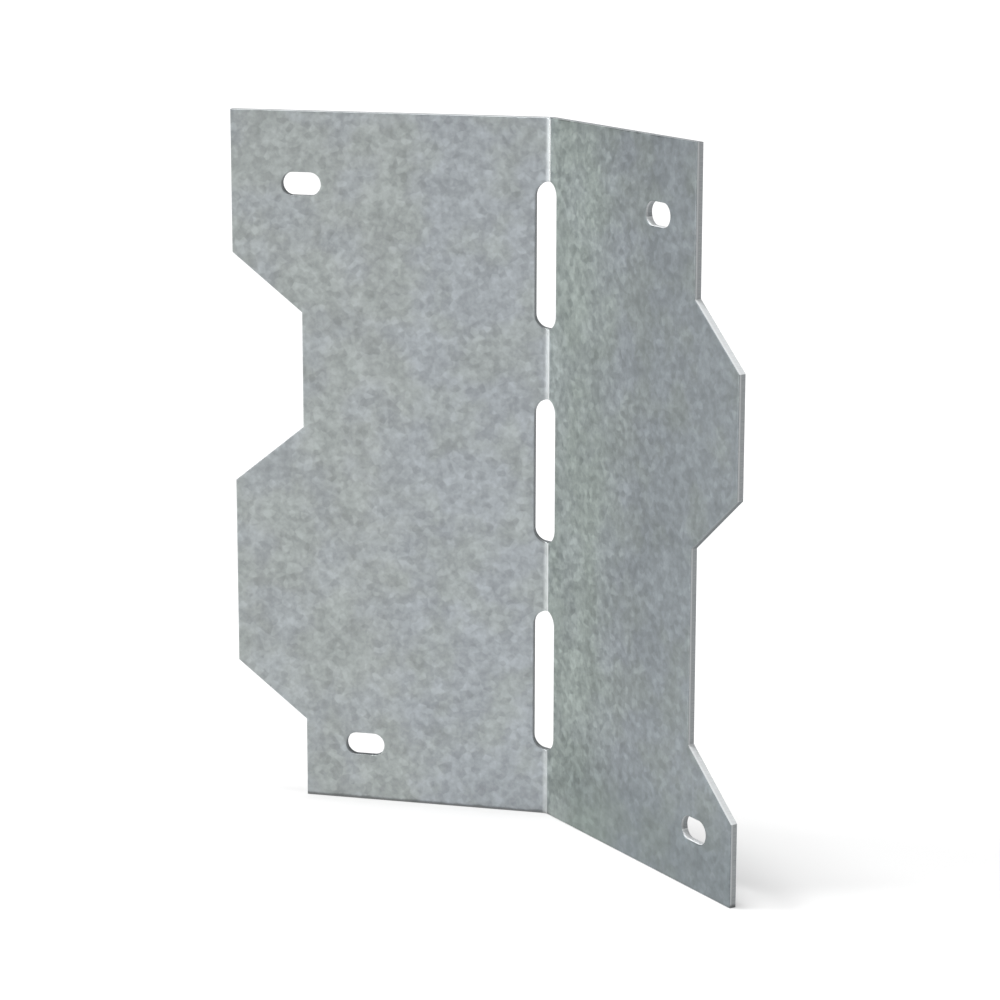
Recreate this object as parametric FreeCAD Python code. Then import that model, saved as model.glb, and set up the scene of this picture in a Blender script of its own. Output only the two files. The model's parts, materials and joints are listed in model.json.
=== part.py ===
import FreeCAD, Part
import math
import os

# Skewable angle: one plate of galvanised steel sheet, punched flat and folded once.
# Millimetres, +Z up along the fold. The origin is at the foot of the fold, where the inner faces of the two
# wings would meet if the fold were sharp. The left wing runs along -X with its inner face towards -Y, and the
# right wing is turned from it towards -Y by the fold angle.

# Sheet and fold
sheet_thickness = 1.3
fold_angle_deg = 45.0
fold_inner_radius = 1.6
neutral_depth_share = 0.44  # depth of the layer that keeps its length in the fold, from the inner face

# Outline: widths along the inner face from the sharp fold line, and straight runs of the stepped side edges
plate_height = 123.825
wide_width = 57.15
narrow_width = 44.45
top_run = 25.1
upper_run = 20.53
bottom_run = 14.24
slant_height = 10.24

# Relief slots on the fold line: their width in the flat plate, and the bridges of metal that are left to bend
fold_slot_count = 3
fold_slot_width = 5.1
top_bridge = 10.9
middle_bridge = 12.35
bottom_bridge = 11.85

# Nail slots, level with the plate's foot: inset is from the side edge beside each one to its centre
nail_slot_length = 7.1
nail_slot_width = 4.05
top_nail_drop = 12.7
bottom_nail_rise = 10.3
left_top_nail_inset = 12.8
left_bottom_nail_inset = 11.0
right_top_nail_inset = 10.9
right_bottom_nail_inset = 10.7

# What follows from the driving dimensions
half_fold = math.radians(fold_angle_deg) / 2
fold_tangent = fold_inner_radius * math.tan(half_fold)  # sharp fold line to where a wing's flat begins
half_allowance = (fold_inner_radius + neutral_depth_share * sheet_thickness) * half_fold
blank_centre = half_allowance - fold_tangent  # the blank's fold line, laid out flat in a wing's own plane
lower_run = plate_height - top_run - upper_run - bottom_run - 3 * slant_height
bridges = top_bridge + bottom_bridge + (fold_slot_count - 1) * middle_bridge
fold_slot_length = (plate_height - bridges) / fold_slot_count
fold_slot_pitch = fold_slot_length + middle_bridge
punch_reach = fold_inner_radius + 2 * sheet_thickness


def extruded(edges, direction):
    """A solid from a closed chain of edges."""
    return Part.Face(Part.Wire(edges)).extrude(direction)


def punch(centre_x, centre_z, length, width, upright):
    """A round-ended punch driven through the sheet, square to the wing that lies in the XZ plane."""
    end_radius = width / 2
    half_straight = length / 2 - end_radius

    def point(along, across):
        shift_x, shift_z = (across, along) if upright else (along, across)
        return FreeCAD.Vector(centre_x + shift_x, -punch_reach, centre_z + shift_z)

    near = [point(-half_straight, end_radius), point(-length / 2, 0), point(-half_straight, -end_radius)]
    far = [point(half_straight, -end_radius), point(length / 2, 0), point(half_straight, end_radius)]
    edges = [
        Part.Arc(*near).toShape(),
        Part.makeLine(near[2], far[0]),
        Part.Arc(*far).toShape(),
        Part.makeLine(far[2], near[0]),
    ]
    return extruded(edges, FreeCAD.Vector(0, 2 * punch_reach, 0))


def flat_wing(run_widths):
    """The flat of a wing, whose side edge steps between the given widths from the foot up."""
    corners = [FreeCAD.Vector(-fold_tangent, 0, 0)]
    level = 0.0
    for width, run in zip(run_widths, (bottom_run, lower_run, upper_run, top_run)):
        corners.append(FreeCAD.Vector(-width, 0, level))
        corners.append(FreeCAD.Vector(-width, 0, level + run))
        level += run + slant_height
    corners.append(FreeCAD.Vector(-fold_tangent, 0, plate_height))
    edges = Part.makePolygon(corners + corners[:1]).Edges
    return extruded(edges, FreeCAD.Vector(0, sheet_thickness, 0))


def near_half_of_fold():
    """The curved strip from the flat of a wing to the middle of the fold."""

    def arc_points(radius):
        turns = (0, half_fold / 2, half_fold)
        return [
            FreeCAD.Vector(-fold_tangent + radius * math.sin(turn), -fold_inner_radius + radius * math.cos(turn), 0)
            for turn in turns
        ]

    inner = arc_points(fold_inner_radius)
    outer = arc_points(fold_inner_radius + sheet_thickness)
    edges = [
        Part.Arc(*inner).toShape(),
        Part.makeLine(inner[2], outer[2]),
        Part.Arc(*outer).toShape(),
        Part.makeLine(outer[0], inner[0]),
    ]
    return extruded(edges, FreeCAD.Vector(0, 0, plate_height))


def half_plate(run_widths, top_nail_inset, bottom_nail_inset):
    """One wing with its half of the fold, in the left wing's place, with its slots punched through."""
    blank = flat_wing(run_widths).fuse(near_half_of_fold())
    punches = []
    for index in range(fold_slot_count):
        centre_z = bottom_bridge + fold_slot_length / 2 + index * fold_slot_pitch
        punches.append(punch(blank_centre, centre_z, fold_slot_length, fold_slot_width, upright=True))
    for edge_width, inset, centre_z in (
        (run_widths[-1], top_nail_inset, plate_height - top_nail_drop),
        (run_widths[0], bottom_nail_inset, bottom_nail_rise),
    ):
        punches.append(punch(inset - edge_width, centre_z, nail_slot_length, nail_slot_width, upright=False))
    return blank.cut(punches)


def angle_plate():
    """The folded plate: the right half is built as a left one and mirrored across the middle of the fold."""
    left = half_plate(
        (narrow_width, wide_width, narrow_width, wide_width), left_top_nail_inset, left_bottom_nail_inset
    )
    right = half_plate(
        (wide_width, narrow_width, wide_width, narrow_width), right_top_nail_inset, right_bottom_nail_inset
    )
    across_fold = FreeCAD.Vector(math.cos(half_fold), -math.sin(half_fold), 0)
    right = right.mirror(FreeCAD.Vector(0, 0, 0), across_fold)
    return left.fuse(right).removeSplitter().Solids[0]


os.makedirs("parts", exist_ok=True)
angle_plate().exportStep("parts/angle_plate.step")
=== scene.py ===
"""Skewable angle: one plate of galvanised sheet, punched flat and folded once, on a pale studio floor."""

import json
import math
from typing import NamedTuple

import bmesh
import bpy
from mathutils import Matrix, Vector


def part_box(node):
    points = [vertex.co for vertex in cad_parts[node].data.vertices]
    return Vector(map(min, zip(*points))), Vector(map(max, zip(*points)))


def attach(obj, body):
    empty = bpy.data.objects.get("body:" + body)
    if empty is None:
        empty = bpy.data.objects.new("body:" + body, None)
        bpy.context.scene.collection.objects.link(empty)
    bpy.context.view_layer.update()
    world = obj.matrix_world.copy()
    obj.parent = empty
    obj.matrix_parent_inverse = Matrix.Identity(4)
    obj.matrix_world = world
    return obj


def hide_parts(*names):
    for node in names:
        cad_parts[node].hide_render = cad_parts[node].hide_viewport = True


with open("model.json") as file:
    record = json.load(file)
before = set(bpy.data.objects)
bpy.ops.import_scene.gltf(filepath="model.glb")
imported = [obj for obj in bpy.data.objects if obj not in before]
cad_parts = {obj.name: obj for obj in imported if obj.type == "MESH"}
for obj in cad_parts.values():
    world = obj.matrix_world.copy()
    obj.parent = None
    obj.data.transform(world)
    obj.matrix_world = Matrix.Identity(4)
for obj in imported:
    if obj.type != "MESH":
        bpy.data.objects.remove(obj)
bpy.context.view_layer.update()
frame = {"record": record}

bl_info = {
    "name": "Skewable Angle",
    "version": (1, 0, 0),
    "blender": (4, 5, 0),
    "location": "View3D > Sidebar > Skewable Angle",
    "description": "Models a folded angle of galvanised sheet with relief slots, and a studio for it",
    "category": "Object",
}


class Fade(NamedTuple):
    """A smooth change between two places: the amount before the start and the amount after the end."""

    start: float
    end: float
    before: float
    after: float


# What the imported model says: the plate's box and the nail slots in its wings
plate_low, plate_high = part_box("angle_plate")
NAIL_SLOTS = [mount for mount in frame["record"]["mounts"] if mount["name"].endswith("nail_slot")]

MM = 0.001
WHITE = (1.0, 1.0, 1.0, 1.0)

# Slanted steps in each side edge
SLANTS = 3

# How finely the mesh is divided, and how near two points count as one
CUT_SNAP = 1e-5
TINY = 1e-6
FOLD_COLUMNS = 14
ROUND_END_STEPS = 20
ROLLOVER_STEPS = 4
BURR_STEPS = 2
PUNCH_DEPTHS = 4
SMOOTH_ANGLE = math.radians(35)
FLAT_WEIGHT = 100

# Faces whose normal leans less than this out of the sheet's plane are cut walls. Along the left wing's top
# the rolled edge is as matt as they are. The edges to be rounded lie between a wall and a flat face.
WALL_LEAN = 0.2
MATT_ROLL_LEAN = 0.7
RIM_LEAN = 0.5

# Walls of the right nail slots that face up by more than this are the foot of the slot, which is painted
# lighter
NAIL_FOOT_LEAN = 0.4

# How smoothly each kind of wall was cut, from torn to burnished. Rising slants and the feet of the right
# nail slots are painted light, and falling slants painted shade, by the way they face.
SLOT_POLISH = 0.16
RIGHT_NAIL_SIDE_POLISH = 0.28
RIGHT_NAIL_FOOT_PAINTED_LIGHT = 1.0
LEFT_TOP_POLISH = 0.24
RIGHT_TOP_POLISH = 0.18
TRIM_POLISH = 0.345
RISING_SLANT_PAINTED_LIGHT = 0.74
FALLING_SLANT_PAINTED_SHADE = 0.115

# Noise, mixes and the fold's limits run from 0 to 1, and each is set round its middle
MIDDLE = 0.5

# Zinc tone: shares of the grains, the finer mottling and the broad clouds, and the lift of the pale ones
GRAIN_SHARE = 0.5
GRAIN_BLUR = 0.3
MOTTLE_SHARE = 1.7
MOTTLE_SCALE = 1.3
CLOUD_SHARE = 0.55
PALE_LIFT = 0.32
PALE_SHIFT = -0.006
MOTTLE_ROUGHNESS = 0.3
GRAIN_ROUGHNESS = 0.12

# Tints, painted shade and the reach of the painted contact shadow across the flat plate, from the left
# wing, minus, to the right wing, plus
CALMER_GRAIN = Fade(0.0, 6 * MM, 1.0, 0.88)
TINT_PATCH = Fade(0.36, 0.64, -0.5, 0.5)
PATCH_IN_GREEN = 0.4
WARM_ZONE = Fade(-30 * MM, -20 * MM, 0.85, 0.15)
GREEN_BEGINS = Fade(-1 * MM, 2 * MM, 0.0, 0.9)
GREEN_ENDS = Fade(12 * MM, 28 * MM, 0.0, 0.9)
SHADE_AT_FOLD = Fade(-2 * MM, 2 * MM, 0.2, 0.04)
SHADE_TO_SIDE = Fade(3 * MM, 34 * MM, 0.0, 0.63)
CORNER_SHADE = Fade(0.0, 12 * MM, 0.0, 0.82)
CORNER_SHADE_SIDE = Fade(20 * MM, 30 * MM, 0.0, 0.18)
CONTACT_SHADOW_BY_WING = Fade(0.0, 4 * MM, 1.0, 0.1)

# Painted shade low on the right wing, and a painted contact shadow along the foot, each rising from the
# foot
CORNER_SHADE_RISE = Fade(5 * MM, 22 * MM, 1.0, 0.0)
CONTACT_SHADOW_RISE = Fade(0.3 * MM, 0.75 * MM, 0.75, 0.0)
CONTACT_SHADOW_WANDER = 0.6 * MM

# The rubbed line, partly a painted highlight: its place and width in shares of half the fold, and its
# painted brightness by shares of the height
LINE_PLACE = 0.5
LINE_WIDTH = Fade(0.1, 0.38, 1.0, 0.0)
LINE_HIGHLIGHT_RISE = Fade(0.05, 0.35, 0.45, 0.74)
LINE_HIGHLIGHT_NEAR_TOP = Fade(0.75, 0.95, 0.0, 0.34)
LINE_END = Fade(0.2 * MM, 0.6 * MM, 0.0, 1.0)
BAND_BEGINS = Fade(-1.2, -0.3, 0.0, 0.22)
BAND_ENDS = Fade(0.3, 0.8, 1.0, 0.0)
INNER_SIDE = Fade(0.0, 0.3, 1.0, 0.0)

# Sheared walls: marks through the sheet, a paler rim, and the share of light that the walls scatter
MARK_STRETCH = (1.0, 0.08, 1.0)
MARK_CONTRAST = 0.3
MARK_ROUGHNESS = 0.2
RIM_DEPTH = Fade(0.28, 0.42, 1.0, 0.0)
RIM_WANDER = 0.25
RIM_SHARE = 1.5
POLISHED_SMOOTHNESS = 0.12
WALL_SCATTER = 0.9

# Fine relief of the zinc and the walls
PIT_SCALE = 0.45
PIT_SHARE = 0.6
GRAIN_RELIEF = 0.4
RELIEF_STRENGTH = 0.25
RELIEF_HEIGHT = 0.04 * MM

# Heights and sides of the sky between which its light changes
SKY_RISE = (0.05, 0.5)
SKY_SIDES = (0.4, 0.9)

# The camera of the photograph
CAMERA_PLACE = (123.912 * MM, -524.041 * MM, 178.071 * MM)
CAMERA_TURN = (1.350063, -0.001928, 0.247904)
SENSOR_WIDTH = 36.0
CLIP_RANGE = (0.01, 40.0)


def length(name, description, default):
    """A property for a length in metres."""
    return bpy.props.FloatProperty(
        name=name,
        description=description,
        default=default,
        min=0.0,
        precision=5,
        subtype="DISTANCE",
        unit="LENGTH",
    )


def share(name, description, default):
    """A property for a share from 0 to 1."""
    return bpy.props.FloatProperty(
        name=name, description=description, default=default, min=0.0, max=1.0, subtype="FACTOR"
    )


def colour(name, description, default):
    """A property for a linear colour."""
    return bpy.props.FloatVectorProperty(
        name=name, description=description, default=default, size=3, min=0.0, max=1.0, subtype="COLOR"
    )


def level(name, description, default):
    """A property for a strength."""
    return bpy.props.FloatProperty(name=name, description=description, default=default, min=0.0)


def turn(name, description, degrees):
    """A property for an angle, given in degrees."""
    return bpy.props.FloatProperty(
        name=name, description=description, default=math.radians(degrees), subtype="ANGLE", unit="ROTATION"
    )


class PlateShape(bpy.types.PropertyGroup):
    """Sizes of the folded plate."""

    height: length("Height", "Height of the plate along the fold", plate_high.z)
    thickness: length("Sheet thickness", "Thickness of the sheet", plate_high.y)
    wide_width: length("Wide width", "Width of a wing's wide runs, from the sharp fold line", -plate_low.x)
    narrow_width: length("Narrow width", "Width of a wing's narrow runs, from the same line", 44.45 * MM)
    bottom_run: length("Bottom run", "Straight run of the side edge at the foot", 14.24 * MM)
    upper_run: length("Upper run", "Straight run of the side edge below the top step", 20.53 * MM)
    top_run: length("Top run", "Straight run of the side edge at the top", 25.1 * MM)
    slant_height: length("Slant height", "Height of each slanted step in the side edges", 10.24 * MM)
    fold_angle: turn("Fold angle", "Angle that the sheet turns through at the fold", 45.0)
    fold_radius: length("Fold radius", "Radius of the fold on its inner side", 1.6 * MM)
    neutral_share: share("Neutral layer", "Depth of the layer that keeps its length in the fold", 0.44)
    fold_slot_width: length("Relief slot width", "Width of the slots on the fold, in the flat", 5.1 * MM)
    bottom_bridge: length("Bottom bridge", "Metal left below the lowest relief slot", 11.85 * MM)
    middle_bridge: length("Middle bridge", "Metal left between relief slots", 12.35 * MM)
    top_bridge: length("Top bridge", "Metal left above the highest relief slot", 10.9 * MM)
    rollover: length("Rollover", "Rounding of the edges where the punch went in", 0.17 * MM)
    burr_break: length("Burr break", "Small rounding of the edges where the punch came out", 0.05 * MM)
    fold_slots: bpy.props.IntProperty(
        name="Relief slots", description="Number of slots on the fold line", default=3, min=1
    )


class ZincFinish(bpy.types.PropertyGroup):
    """Colours and sizes of the zinc coating and the sheared walls."""

    dull_zinc: colour("Dull zinc", "Colour of the darker zinc grains", (0.306, 0.309, 0.325))
    pale_zinc: colour("Pale zinc", "Colour of the paler zinc grains", (0.5525, 0.5575, 0.587))
    cool_tint: colour("Cool tint", "Tint of the bluer zones of the zinc", (0.945, 1.0, 1.0))
    warm_tint: colour("Warm tint", "Tint of the warmer zone along the left side", (0.951, 1.0, 0.945))
    green_tint: colour("Green tint", "Tint of the greener zone to the right of the fold", (0.91, 1.0, 0.9))
    # The side shade tint is painted shade: the right wing darker away from the fold and low down, the left
    # wing a little darker
    side_shade_tint: colour("Worn tint", "Tint of the duller zinc on the right wing", (0.55, 0.58, 0.58))
    # The foot colour is painted shade: a contact shadow along the foot
    foot_contact_shadow: colour("Foot grime", "Colour of the dirt along the foot", (0.14, 0.145, 0.145))
    # The rubbed colour is partly painted highlight inside the fold
    rubbed_zinc_and_highlight: colour("Rubbed zinc", "Colour of the zinc rubbed inside the fold", (0.74, 0.76, 0.755))
    # The burnished colour also gives the painted light of walls facing up
    burnished_steel: colour("Burnished wall", "Colour of the most smoothly cut walls", (0.79, 0.81, 0.82))
    torn_steel: colour("Torn wall", "Colour of the walls where the steel tore", (0.106, 0.119, 0.126))
    grain_size: length("Grain size", "Width of a zinc grain", 1.2 * MM)
    cloud_size: length("Cloud size", "Width of the soft patches in the coating", 9.0 * MM)
    tint_size: length("Tint size", "Width of the bluer and greener patches", 11.0 * MM)
    streak_size: length("Streak size", "Spacing of the shear marks on the walls", 0.14 * MM)
    contrast: level("Contrast", "Contrast of the zinc grains", 1.0)
    roughness: share("Roughness", "Mean roughness of the zinc", 0.46)
    rubbed_roughness: share("Rubbed roughness", "Roughness of the zinc inside the fold", 0.24)
    edge_roughness: share("Wall roughness", "Roughness of the walls where the steel tore", 0.48)


class StudioLook(bpy.types.PropertyGroup):
    """Floor, light and lens of the studio."""

    floor_colour: colour("Floor", "Colour of the floor", (0.8, 0.8, 0.8))
    floor_glow: share("Floor glow", "Share of plain white in the floor that is seen", 0.4)
    floor_size: length("Floor size", "Side of the floor", 16.0)
    sky_horizon: level("Sky at the horizon", "Strength of the soft light near the horizon", 0.89)
    sky_zenith: level("Sky overhead", "Strength of the soft light overhead", 0.4)
    sky_side_dim: share("Dimmer sides", "How much darker the sky is on the left and right", 0.9)
    top_strength: level("Top lamp", "Strength of the lamp overhead", 1.485)
    top_azimuth: turn("Top azimuth", "Angle of the top lamp to the left of the front", 60.0)
    top_elevation: turn("Top elevation", "Angle of the top lamp above the floor", 85.5)
    top_spread: turn("Top spread", "Apparent width of the top lamp", 12.0)
    high_strength: level("High lamp", "Strength of the lamp high on the left", 1.445)
    high_azimuth: turn("High azimuth", "Angle of the high lamp to the left of the front", 101.0)
    high_elevation: turn("High elevation", "Angle of the high lamp above the floor", 75.6)
    high_spread: turn("High spread", "Apparent width of the high lamp", 16.4)
    key_strength: level("Key lamp", "Strength of the lamp half way up on the left", 0.924)
    key_azimuth: turn("Key azimuth", "Angle of the key lamp to the left of the front", 82.6)
    key_elevation: turn("Key elevation", "Angle of the key lamp above the floor", 53.2)
    key_spread: turn("Key spread", "Apparent width of the key lamp", 12.0)
    side_strength: level("Side lamp", "Strength of the low lamp on the left", 1.2)
    side_azimuth: turn("Side azimuth", "Angle of the side lamp to the left of the front", 60.0)
    side_elevation: turn("Side elevation", "Angle of the side lamp above the floor", 6.0)
    side_spread: turn("Side spread", "Apparent width of the side lamp", 30.0)
    lens: bpy.props.FloatProperty(
        name="Lens", description="Focal length in millimetres", default=113.912, unit="CAMERA"
    )


LAMPS = ("top", "high", "key", "side")


def deselect_everything():
    """Leave no object selected."""
    bpy.ops.object.select_all(action="DESELECT")


def pick(piece, kind, test):
    """In edit mode, select only the vertices or edges that pass the test."""
    bpy.ops.mesh.select_mode(type=kind)
    bpy.ops.mesh.select_all(action="DESELECT")
    mesh = bmesh.from_edit_mesh(piece.data)
    found = 0
    for item in {"VERT": mesh.verts, "EDGE": mesh.edges}[kind]:
        if test(item):
            item.select_set(True)
            found += 1
    if not found:
        raise RuntimeError(f"nothing to select on {piece.name}")
    mesh.select_flush_mode()
    bmesh.update_edit_mesh(piece.data)


def box(name, centre, size):
    """A box of a size at a place, with its place in its mesh, in edit mode."""
    deselect_everything()
    bpy.ops.mesh.primitive_cube_add(size=1.0, location=centre, scale=size)
    piece = bpy.context.object
    piece.name = name
    piece.data.name = name
    bpy.ops.object.transform_apply(location=True, rotation=True, scale=True)
    bpy.ops.object.mode_set(mode="EDIT")
    return piece


def cut_across(places, normal):
    """In edit mode, cut the whole mesh by planes through the places."""
    for place in places:
        bpy.ops.mesh.select_all(action="SELECT")
        bpy.ops.mesh.bisect(plane_co=place, plane_no=normal, threshold=CUT_SNAP)


class Blank:
    """Sizes of the flat plate, from the shape: x from the fold line, y through the sheet, z up."""

    def __init__(self, shape):
        self.height = shape.height
        self.half_fold = shape.fold_angle / 2
        self.inner = -shape.neutral_share * shape.thickness
        self.outer = self.inner + shape.thickness
        self.middle = (self.inner + self.outer) / 2
        neutral_radius = shape.fold_radius - self.inner
        self.half_allowance = neutral_radius * self.half_fold
        self.stretch = self.half_allowance - shape.fold_radius * math.tan(self.half_fold)
        self.half_width = shape.wide_width + self.stretch
        self.step = shape.wide_width - shape.narrow_width
        self.sharp_fold = shape.fold_radius / math.cos(self.half_fold) - neutral_radius

    def breaks(self, shape):
        """Heights of the side edges' corners, from the foot up."""
        runs = shape.bottom_run + shape.upper_run + shape.top_run
        lower_run = shape.height - runs - SLANTS * shape.slant_height
        heights = []
        reached = 0.0
        for run in (shape.bottom_run, lower_run, shape.upper_run):
            heights += [reached + run, reached + run + shape.slant_height]
            reached = heights[-1]
        return heights

    def slots(self, shape):
        """Centre and size along x and z of every slot: the relief slots, then the nail slots."""
        bridges = shape.bottom_bridge + shape.top_bridge + (shape.fold_slots - 1) * shape.middle_bridge
        tall = (shape.height - bridges) / shape.fold_slots
        pitch = tall + shape.middle_bridge
        first = shape.bottom_bridge + tall / 2
        found = [(0.0, first + i * pitch, shape.fold_slot_width, tall) for i in range(shape.fold_slots)]
        for mount in NAIL_SLOTS:
            x, y, z = mount["pos_m"]
            reach = math.hypot(x, y) + self.stretch
            size = mount["dims"]["slot_length_mm"] * MM, 2 * mount["dims"]["hole_r_mm"] * MM
            found.append((math.copysign(reach, x), z, *size))
        return found


def sheared_blank(shape, blank):
    """The flat plate with its stepped side edges."""
    size = (2 * blank.half_width, shape.thickness, blank.height)
    plate = box("folded_plate", (0, blank.middle, blank.height / 2), size)
    heights = blank.breaks(shape)
    cut_across([(0, 0, z) for z in heights], (0, 0, 1))
    levels = [0.0, *heights, blank.height]
    narrow = {
        -1: (levels[0], levels[1], levels[4], levels[5]),
        1: (levels[2], levels[3], levels[6], levels[7]),
    }
    for side, chosen in narrow.items():

        def on_narrow_run(vert):
            """Whether a corner lies on this side, on a run that is narrow."""
            at_side = abs(vert.co.x - side * blank.half_width) < TINY
            return at_side and any(abs(vert.co.z - z) < TINY for z in chosen)

        pick(plate, "VERT", on_narrow_run)
        bpy.ops.transform.translate(value=(-side * blank.step, 0, 0))
    bpy.ops.object.mode_set(mode="OBJECT")
    return plate


def punch(name, blank, x, z, wide, tall):
    """A round-ended punch that reaches through the sheet."""
    depth = PUNCH_DEPTHS * (blank.outer - blank.inner)
    tool = box(name, (x, blank.middle, z), (wide, depth, tall))
    pick(tool, "EDGE", lambda edge: abs((edge.verts[0].co - edge.verts[1].co).y) > depth / 2)
    bpy.ops.mesh.bevel(
        offset=min(wide, tall) / 2, segments=ROUND_END_STEPS, affect="EDGES", clamp_overlap=True
    )
    bpy.ops.mesh.select_all(action="SELECT")
    bpy.ops.mesh.remove_doubles(threshold=TINY)
    bpy.ops.mesh.normals_make_consistent(inside=False)
    bpy.ops.object.mode_set(mode="OBJECT")
    return tool


def punch_slots(plate, shape, blank):
    """Punch every slot through the flat plate."""
    for number, slot in enumerate(blank.slots(shape)):
        tool = punch(f"punch_{number}", blank, *slot)
        deselect_everything()
        bpy.context.view_layer.objects.active = plate
        plate.select_set(True)
        cut = plate.modifiers.new("punched", "BOOLEAN")
        cut.operation = "DIFFERENCE"
        cut.solver = "EXACT"
        cut.object = tool
        bpy.ops.object.modifier_apply(modifier=cut.name)
        bpy.data.objects.remove(tool)


def break_edges(plate, shape, blank):
    """Round the sheared edges: more where the punch went in, on the inner face, than where it came out."""
    bpy.ops.object.mode_set(mode="EDIT")
    bpy.ops.mesh.select_all(action="SELECT")
    bpy.ops.mesh.remove_doubles(threshold=TINY)
    for depth, offset, steps in (
        (blank.inner, shape.rollover, ROLLOVER_STEPS),
        (blank.outer, shape.burr_break, BURR_STEPS),
    ):

        def on_rim(edge):
            """Whether an edge lies between this face of the sheet and a wall."""
            flat = all(abs(vert.co.y - depth) < TINY for vert in edge.verts)
            faces = [abs(face.normal.y) for face in edge.link_faces]
            return flat and min(faces) < RIM_LEAN < max(faces)

        pick(plate, "EDGE", on_rim)
        bpy.ops.mesh.bevel(offset=offset, segments=steps, affect="EDGES", clamp_overlap=False)
    bpy.ops.object.mode_set(mode="OBJECT")


def wall_polish_and_light(face, slots, margin):
    """How smoothly a wall was cut, with painted light and shade: slots by their place, side and top edges
    by the way they face, rising slants and nail-slot feet painted lighter, falling slants darker.
    """
    x, _, z = face.center
    for centre_x, centre_z, wide, tall in slots:
        if abs(x - centre_x) < wide / 2 + margin and abs(z - centre_z) < tall / 2 + margin:
            if centre_x < wide:
                return SLOT_POLISH
            # Painted light: nail-slot walls facing up are lighter
            return RIGHT_NAIL_FOOT_PAINTED_LIGHT if face.normal.z > NAIL_FOOT_LEAN else RIGHT_NAIL_SIDE_POLISH
    # Painted light and shade: rising slants lighter, falling slants darker
    if min(abs(face.normal.x), abs(face.normal.z)) > WALL_LEAN:
        return RISING_SLANT_PAINTED_LIGHT if face.normal.z > 0 else FALLING_SLANT_PAINTED_SHADE
    if face.normal.z > WALL_LEAN:
        return LEFT_TOP_POLISH if x < 0 else RIGHT_TOP_POLISH
    return TRIM_POLISH


def mark_blank(plate, shape, blank):
    """Keep for the finish each point's place in the flat plate, and how smoothly each wall was cut, with
    painted light and shade on walls by the way they face.
    """
    flat = plate.data.attributes.new("blank_place", "FLOAT_VECTOR", "POINT")
    flat.data.foreach_set("vector", [x for vert in plate.data.vertices for x in vert.co])
    slots = blank.slots(shape)
    polish = [wall_polish_and_light(face, slots, shape.rollover) for face in plate.data.polygons]
    leans = [MATT_ROLL_LEAN if one == LEFT_TOP_POLISH else WALL_LEAN for one in polish]
    walls = [float(abs(face.normal.y) < lean) for face, lean in zip(plate.data.polygons, leans)]
    plate.data.attributes.new("sheared", "FLOAT", "FACE").data.foreach_set("value", walls)
    plate.data.attributes.new("polish", "FLOAT", "FACE").data.foreach_set("value", polish)


def fold_plate(plate, shape, blank):
    """Fold the flat plate on its middle line and set it in the row's frame."""
    bpy.ops.object.mode_set(mode="EDIT")
    columns = [blank.half_allowance * (2 * i / FOLD_COLUMNS - 1) for i in range(FOLD_COLUMNS + 1)]
    cut_across([(x, 0, 0) for x in columns], (1, 0, 0))
    bpy.ops.object.mode_set(mode="OBJECT")
    mark_blank(plate, shape, blank)
    reach = blank.half_allowance / (2 * blank.half_width)
    fold = plate.modifiers.new("fold", "SIMPLE_DEFORM")
    fold.deform_method = "BEND"
    fold.deform_axis = "Z"
    fold.angle = -shape.fold_angle
    fold.limits = (MIDDLE - reach, MIDDLE + reach)
    bpy.ops.object.modifier_apply(modifier=fold.name)
    bpy.ops.object.mode_set(mode="EDIT")
    bpy.ops.mesh.select_all(action="SELECT")
    bpy.ops.transform.translate(value=(0, -blank.sharp_fold, 0))
    bpy.ops.object.mode_set(mode="OBJECT")
    plate.rotation_euler = (0, 0, -blank.half_fold)
    bpy.ops.object.transform_apply(location=True, rotation=True, scale=True)


def smooth_faces(plate):
    """Smooth shading over the rounded edges and the fold, with the flats kept flat."""
    bpy.ops.object.shade_smooth_by_angle(angle=SMOOTH_ANGLE)
    weighted = plate.modifiers.new("flats", "WEIGHTED_NORMAL")
    weighted.mode = "FACE_AREA"
    weighted.weight = FLAT_WEIGHT
    weighted.keep_sharp = True
    bpy.ops.object.modifier_apply(modifier=weighted.name)


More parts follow.
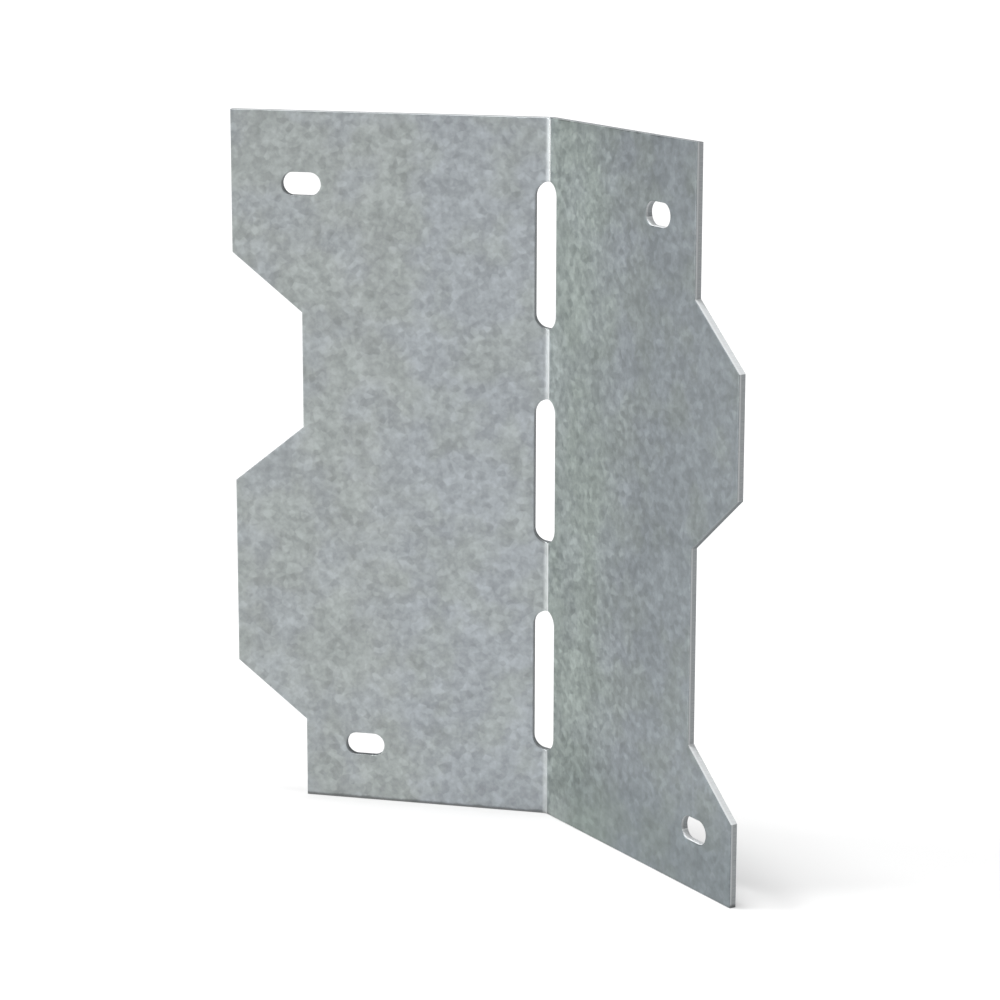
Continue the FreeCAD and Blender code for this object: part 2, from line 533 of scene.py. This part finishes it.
class Wire:
    """A shader socket that takes part in Python expressions, each of which adds its Math node."""

    def __init__(self, tree, socket=None):
        self.tree = tree
        self.socket = socket

    def node(self, kind, settings, values, output=0):
        """A new node: its settings first, then the values or links of its sockets."""
        made = self.tree.nodes.new(kind)
        for name, setting in settings.items():
            setattr(made, name, setting)
        for name, value in values.items():
            if isinstance(value, Wire):
                self.tree.links.new(value.socket, made.inputs[name])
            else:
                made.inputs[name].default_value = value
        return Wire(self.tree, made.outputs[output] if made.outputs else None)

    def math(self, operation, *values):
        """A Math node on the values."""
        return self.node("ShaderNodeMath", {"operation": operation}, dict(enumerate(values)))

    def __add__(self, other):
        return self.math("ADD", self, other)

    def __sub__(self, other):
        return self.math("SUBTRACT", self, other)

    def __rsub__(self, other):
        return self.math("SUBTRACT", other, self)

    def __mul__(self, other):
        return self.math("MULTIPLY", self, other)

    __radd__ = __add__
    __rmul__ = __mul__

    def __abs__(self):
        return self.math("ABSOLUTE", self)

    def most(self, other):
        """The larger of this value and another."""
        return self.math("MAXIMUM", self, other)

    def part(self, axis):
        """One part of this vector."""
        return self.node("ShaderNodeSeparateXYZ", {}, {"Vector": self}, output=axis)

    def fade(self, change, kind="SMOOTHSTEP"):
        """This value through a change, a smooth one unless another kind is named."""
        values = dict(enumerate((self, *change)))
        return self.node("ShaderNodeMapRange", {"interpolation_type": kind}, values)

    def mix(self, low, high):
        """A colour from low to high by this value."""
        return self.node("ShaderNodeMix", {"data_type": "RGBA"}, {0: self, 6: low, 7: high}, output=2)

    def tinted(self, tint):
        """This colour times a tint."""
        settings = {"data_type": "RGBA", "blend_type": "MULTIPLY"}
        return self.node("ShaderNodeMix", settings, {0: 1.0, 6: self, 7: tint}, output=2)


def opaque(rgb):
    """A property's colour with an alpha."""
    return (*rgb, 1.0)


class Sheet:
    """What the finish reads of the plate: places in the flat sheet, marks on its faces, and grains."""

    def __init__(self, wire, finish, blank):
        self.wire = wire
        self.place = self.mark("blank_place", "Vector")
        self.sheared = self.mark("sheared", "Fac")
        self.polish = self.mark("polish", "Fac")
        self.across = self.place.part("X")
        self.up = self.place.part("Z")
        self.depth = (self.place.part("Y") - blank.inner) * (1 / (blank.outer - blank.inner))
        values = {"Vector": self.place, "Scale": 1 / finish.grain_size, "Smoothness": GRAIN_BLUR}
        cells = wire.node("ShaderNodeTexVoronoi", {"feature": "SMOOTH_F1"}, values, output="Color")
        self.grain = wire.node("ShaderNodeSeparateColor", {}, {"Color": cells}) - MIDDLE
        self.mottle = self.noise(finish.grain_size * MOTTLE_SCALE, detail=5.0, roughness=0.6) - MIDDLE

    def mark(self, name, output):
        """What the mesh says in one of its attributes."""
        return self.wire.node("ShaderNodeAttribute", {"attribute_name": name}, {}, output)

    def noise(self, size, detail, roughness=0.5, vector=None):
        """Noise over the flat sheet with bumps of a size."""
        values = {
            "Vector": vector or self.place,
            "Scale": 1 / size,
            "Detail": detail,
            "Roughness": roughness,
        }
        return self.wire.node("ShaderNodeTexNoise", {}, values)


def grained_zinc(sheet, finish):
    """The zinc's colour: grains, finer mottling and broad clouds, in zones of warmer and cooler tint."""
    cloud = sheet.noise(finish.cloud_size, detail=2.0) - MIDDLE
    tone = sheet.grain * GRAIN_SHARE + sheet.mottle * MOTTLE_SHARE + cloud * CLOUD_SHARE
    tone = (tone + tone * tone * PALE_LIFT + PALE_SHIFT) * sheet.across.fade(CALMER_GRAIN)
    zinc = (tone * finish.contrast + MIDDLE).mix(opaque(finish.dull_zinc), opaque(finish.pale_zinc))
    patch = sheet.noise(finish.tint_size, detail=3.0).fade(TINT_PATCH)
    warm = sheet.across.fade(WARM_ZONE) + patch
    green = sheet.across.fade(GREEN_BEGINS) - sheet.across.fade(GREEN_ENDS) + patch * PATCH_IN_GREEN
    tint = warm.mix(opaque(finish.cool_tint), opaque(finish.warm_tint))
    return zinc.tinted(green.mix(tint, opaque(finish.green_tint)))


def side_shade_zinc(zinc, sheet, finish):
    """The zinc darkened by painted shade: a little over the left wing, least just right of the fold, most
    towards the right wing's side and low on the right wing.
    """
    # Painted shade: a little over the left wing, least just right of the fold, most towards the right
    # wing's side and low on the right wing
    side_shade = sheet.across.fade(SHADE_AT_FOLD) + sheet.across.fade(SHADE_TO_SIDE)
    foot = sheet.across.fade(CORNER_SHADE) + sheet.across.fade(CORNER_SHADE_SIDE)
    side_shade = side_shade + foot * sheet.up.fade(CORNER_SHADE_RISE) * (1 - side_shade)
    return zinc.tinted(side_shade.mix(WHITE, opaque(finish.side_shade_tint)))


def rubbed_fold_and_highlight(sheet, blank):
    """Where the folding tool rubbed the zinc, with a painted highlight: a bright line inside the fold,
    brighter higher up, and a paler band beside it.
    """
    reach = sheet.across * (1 / blank.half_allowance)
    risen = sheet.up * (1 / blank.height)
    # Painted highlight: the line grows brighter with height, most near the top
    bright = risen.fade(LINE_HIGHLIGHT_RISE) + risen.fade(LINE_HIGHLIGHT_NEAR_TOP)
    line = abs(reach - LINE_PLACE).fade(LINE_WIDTH) * bright * (blank.height - sheet.up).fade(LINE_END)
    band = reach.fade(BAND_BEGINS) * reach.fade(BAND_ENDS)
    return line.most(band) * sheet.depth.fade(INNER_SIDE)


def zinc_material(finish, blank):
    """Dull hot-dip zinc with painted shade and a painted contact shadow at the foot, rubbed and painted
    with a highlight inside the fold, and bare walls where it was cut.
    """
    material = bpy.data.materials.new("hot_dip_zinc")
    material.use_nodes = True
    tree = material.node_tree
    tree.nodes.clear()
    wire = Wire(tree)
    sheet = Sheet(wire, finish, blank)

    # Zinc: grains, painted shade on the wings, a painted contact shadow along the foot, and the rubbed fold
    # with its painted highlight
    zinc = side_shade_zinc(grained_zinc(sheet, finish), sheet, finish)
    # Painted contact shadow: darker along the lowest part of a millimetre of the foot, full on the left
    # wing, faint on the right
    contact_shadow = (sheet.up + sheet.mottle * CONTACT_SHADOW_WANDER).fade(CONTACT_SHADOW_RISE)
    zinc = (contact_shadow * sheet.across.fade(CONTACT_SHADOW_BY_WING)).mix(zinc, opaque(finish.foot_contact_shadow))
    rough = finish.roughness + sheet.mottle * MOTTLE_ROUGHNESS + sheet.grain * GRAIN_ROUGHNESS
    rubbed_and_highlight = rubbed_fold_and_highlight(sheet, blank)
    zinc = rubbed_and_highlight.mix(zinc, opaque(finish.rubbed_zinc_and_highlight))
    rough = rough + rubbed_and_highlight * (finish.rubbed_roughness - rough)

    # Sheared walls: fine marks through the sheet, a paler rim on the side where the punch went in, and the
    # painted light and shade of walls by the way they face
    values = {0: sheet.place, 1: MARK_STRETCH}
    stretched = wire.node("ShaderNodeVectorMath", {"operation": "MULTIPLY"}, values)
    streak = sheet.noise(finish.streak_size, detail=2.0, roughness=0.6, vector=stretched) - MIDDLE
    rim = sheet.polish * (1 - sheet.polish) * (1 - sheet.polish) * RIM_SHARE
    rim = rim * (sheet.depth + streak * RIM_WANDER).fade(RIM_DEPTH)
    polish = sheet.polish + rim + streak * MARK_CONTRAST
    wall = polish.mix(opaque(finish.torn_steel), opaque(finish.burnished_steel))
    # The painted contact shadow darkens the walls at the foot too
    wall = contact_shadow.mix(wall, opaque(finish.foot_contact_shadow))
    wall_rough = finish.edge_roughness - polish * POLISHED_SMOOTHNESS + streak * MARK_ROUGHNESS
    rough = rough + sheet.sheared * (wall_rough - rough)

    # Relief: grains and fine pitting on the zinc, marks on the walls
    pits = sheet.noise(finish.grain_size * PIT_SCALE, detail=3.0)
    relief = pits * PIT_SHARE + sheet.grain * GRAIN_RELIEF
    relief = relief + sheet.sheared * (streak - relief)
    bump = {"Strength": RELIEF_STRENGTH, "Distance": RELIEF_HEIGHT, "Height": relief}
    values = {
        "Base Color": sheet.sheared.mix(zinc, wall),
        "Metallic": 1 - sheet.sheared * WALL_SCATTER,
        "Roughness": rough,
        "Specular IOR Level": 0.0,
        "Normal": wire.node("ShaderNodeBump", {}, bump),
    }
    shader = wire.node("ShaderNodeBsdfPrincipled", {}, values)
    wire.node("ShaderNodeOutputMaterial", {}, {"Surface": shader})
    return material


class SKEWABLE_ANGLE_OT_folded_plate(bpy.types.Operator):
    """Model the folded plate: shear, punch and fold the sheet, and give it its zinc finish"""

    bl_idname = "skewable_angle.folded_plate"
    bl_label = "Folded Plate"

    def execute(self, context):
        shape = context.scene.skewable_angle_shape
        blank = Blank(shape)
        plate = sheared_blank(shape, blank)
        punch_slots(plate, shape, blank)
        break_edges(plate, shape, blank)
        fold_plate(plate, shape, blank)
        smooth_faces(plate)
        plate.data.materials.append(zinc_material(context.scene.skewable_angle_finish, blank))
        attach(plate, "root")
        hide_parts("angle_plate")
        return {"FINISHED"}


def floor_material(look):
    """A pale floor that keeps the shadow, with plain white mixed in where it is seen."""
    material = bpy.data.materials.new("studio_floor")
    material.use_nodes = True
    tree = material.node_tree
    tree.nodes.clear()
    wire = Wire(tree)
    camera, glossy, clear = (
        wire.node("ShaderNodeLightPath", {}, {}, output=f"Is {ray} Ray")
        for ray in ("Camera", "Glossy", "Transmission")
    )
    seen = camera.most(glossy).most(clear)
    matt = wire.node("ShaderNodeBsdfDiffuse", {}, {"Color": opaque(look.floor_colour)})
    white = wire.node("ShaderNodeEmission", {}, {"Color": WHITE, "Strength": 1.0})
    surface = wire.node("ShaderNodeMixShader", {}, {0: seen * look.floor_glow, 1: matt, 2: white})
    wire.node("ShaderNodeOutputMaterial", {}, {"Surface": surface})
    return material


def light_sky(scene, look):
    """Soft light from all round, paler near the horizon and dimmer on the left and right."""
    sky = bpy.data.worlds.new("studio_sky")
    scene.world = sky
    sky.use_nodes = True
    tree = sky.node_tree
    tree.nodes.clear()
    wire = Wire(tree)
    direction = wire.node("ShaderNodeTexCoord", {}, {}, output="Generated")
    strength = direction.part("Z").fade(Fade(*SKY_RISE, look.sky_horizon, look.sky_zenith))
    dim = abs(direction.part("X")).fade(Fade(*SKY_SIDES, 1.0, 1.0 - look.sky_side_dim), "LINEAR")
    glow = wire.node("ShaderNodeBackground", {}, {"Color": WHITE, "Strength": strength * dim})
    wire.node("ShaderNodeOutputWorld", {}, {"Surface": glow})


def add_lamp(look, name):
    """A soft lamp far away, at an angle to the left of the front and above the floor."""
    strength, azimuth, elevation, spread = (
        getattr(look, f"{name}_{setting}") for setting in ("strength", "azimuth", "elevation", "spread")
    )
    deselect_everything()
    bpy.ops.object.light_add(type="SUN", rotation=(math.pi / 2 - elevation, 0, -azimuth))
    lamp = bpy.context.object
    lamp.name = f"{name}_lamp"
    lamp.data.energy = strength
    lamp.data.angle = spread


def add_camera(scene, look):
    """The camera at the photograph's viewing angle."""
    deselect_everything()
    bpy.ops.object.camera_add(location=CAMERA_PLACE, rotation=CAMERA_TURN)
    camera = bpy.context.object
    camera.name = "photo_camera"
    camera.data.lens = look.lens
    camera.data.sensor_width = SENSOR_WIDTH
    camera.data.clip_start, camera.data.clip_end = CLIP_RANGE
    scene.camera = camera


class SKEWABLE_ANGLE_OT_stage(bpy.types.Operator):
    """Set up the floor, the light and the camera"""

    bl_idname = "skewable_angle.stage"
    bl_label = "Studio"

    def execute(self, context):
        scene = context.scene
        look = scene.skewable_angle_look
        deselect_everything()
        bpy.ops.mesh.primitive_plane_add(size=look.floor_size, location=(0, 0, 0))
        floor = context.object
        floor.name = "studio_floor"
        floor.data.materials.append(floor_material(look))
        light_sky(scene, look)
        for name in LAMPS:
            add_lamp(look, name)
        add_camera(scene, look)
        scene.view_settings.view_transform = "Standard"
        return {"FINISHED"}


class SKEWABLE_ANGLE_PT_sidebar(bpy.types.Panel):
    """Sizes, colours and build steps of the skewable angle"""

    bl_label = "Skewable Angle"
    bl_idname = "SKEWABLE_ANGLE_PT_sidebar"
    bl_space_type = "VIEW_3D"
    bl_region_type = "UI"
    bl_category = "Skewable Angle"

    def draw(self, context):
        for name, operator in (
            ("skewable_angle_shape", None),
            ("skewable_angle_finish", SKEWABLE_ANGLE_OT_folded_plate.bl_idname),
            ("skewable_angle_look", SKEWABLE_ANGLE_OT_stage.bl_idname),
        ):
            settings = getattr(context.scene, name)
            column = self.layout.column()
            for key in settings.bl_rna.properties.keys():
                if key not in ("rna_type", "name"):
                    column.prop(settings, key)
            if operator:
                column.operator(operator)


CLASSES = (
    PlateShape,
    ZincFinish,
    StudioLook,
    SKEWABLE_ANGLE_OT_folded_plate,
    SKEWABLE_ANGLE_OT_stage,
    SKEWABLE_ANGLE_PT_sidebar,
)
SETTINGS = {
    "skewable_angle_shape": PlateShape,
    "skewable_angle_finish": ZincFinish,
    "skewable_angle_look": StudioLook,
}


def register():
    """Add the classes, and the settings of each scene."""
    for one in CLASSES:
        bpy.utils.register_class(one)
    for name, group in SETTINGS.items():
        setattr(bpy.types.Scene, name, bpy.props.PointerProperty(type=group))


def unregister():
    """Take the settings and the classes away again."""
    for name in SETTINGS:
        delattr(bpy.types.Scene, name)
    for one in reversed(CLASSES):
        bpy.utils.unregister_class(one)


def main():
    register()
    bpy.ops.skewable_angle.folded_plate()
    bpy.ops.skewable_angle.stage()


if __name__ == "__main__":
    main()
